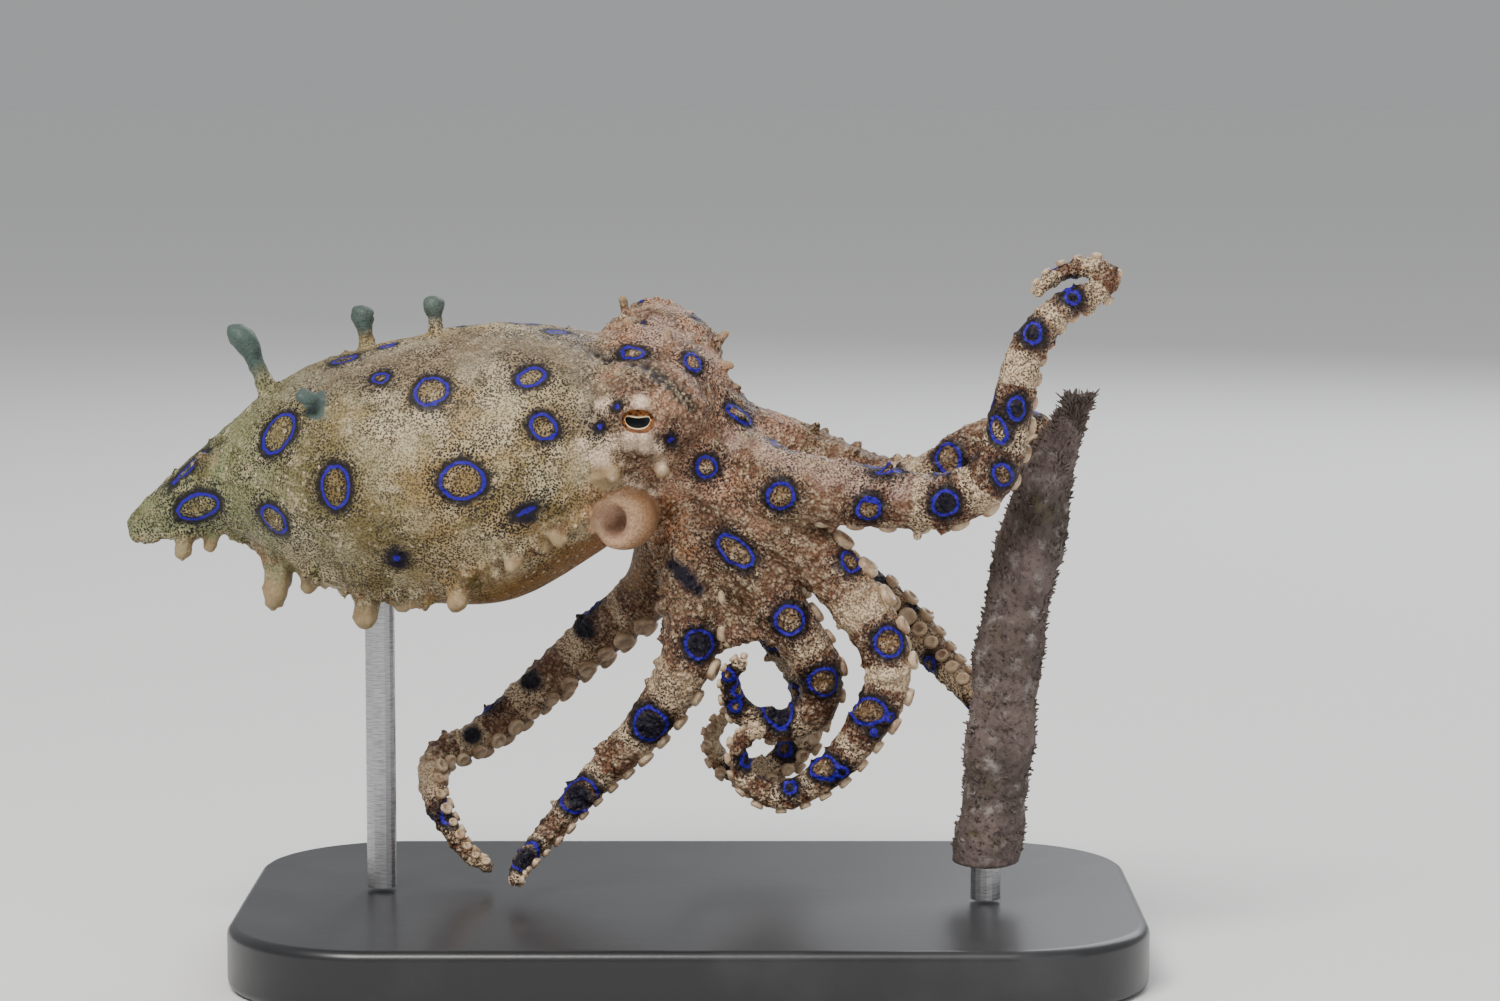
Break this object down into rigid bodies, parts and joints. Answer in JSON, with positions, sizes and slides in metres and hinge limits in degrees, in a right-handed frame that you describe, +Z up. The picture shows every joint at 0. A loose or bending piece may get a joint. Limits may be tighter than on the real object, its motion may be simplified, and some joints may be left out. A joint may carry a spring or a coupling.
{
  "type": "blue ringed octopus model",
  "caption": "Life-size still model of a small blue ringed octopus reaching forward to grip a cut stem, held on a flat display base by two short rods.",
  "frame": {"origin": "centre of the display base's underside", "axes": "+X towards the animal's front, where the stem stands; +Y towards its left side; +Z up"},
  "size_m": [0.0814, 0.046, 0.057],
  "materials": {
    "mottled_skin": "soft satin skin with fine granules, blue rings and dark specks",
    "pale_oral_skin": "pale, slightly glossy sucker skin",
    "eye": "glossy wet eye with a dark bar pupil",
    "stem_crust": "rough, encrusted",
    "stand_board": "dark satin paint",
    "stand_metal": "brushed"
  },
  "bodies": {
    "root": {"mantle": "mottled_skin", "head": "mottled_skin", "arm_crown": "mottled_skin", "siphon": "mottled_skin", "mouth": "pale_oral_skin", "eye_right": "eye", "eye_left": "eye", "arm_right_1_length_1": "mottled_skin", "arm_right_1_length_2": "mottled_skin", "arm_right_1_length_3": "mottled_skin", "arm_right_2_length_1": "mottled_skin", "arm_right_2_length_2": "mottled_skin", "arm_right_2_length_3": "mottled_skin", "arm_right_2_length_4": "mottled_skin", "arm_right_3_length_1": "mottled_skin", "arm_right_3_length_2": "mottled_skin", "arm_right_3_length_3": "mottled_skin", "arm_right_4_length_1": "mottled_skin", "arm_right_4_length_2": "mottled_skin", "arm_right_4_length_3": "mottled_skin", "arm_left_1_length_1": "mottled_skin", "arm_left_1_length_2": "mottled_skin", "arm_left_1_length_3": "mottled_skin", "arm_left_2_length_1": "mottled_skin", "arm_left_2_length_2": "mottled_skin", "arm_left_2_length_3": "mottled_skin", "arm_left_3_length_1": "mottled_skin", "arm_left_3_length_2": "mottled_skin", "arm_left_3_length_3": "mottled_skin", "arm_left_4_length_1": "mottled_skin", "arm_left_4_length_2": "mottled_skin", "arm_left_4_length_3": "mottled_skin", "perch_stem": "stem_crust", "stand_base": "stand_board", "stand_rod_body": "stand_metal", "stand_rod_stem": "stand_metal"}
  },
  "joints": []
}
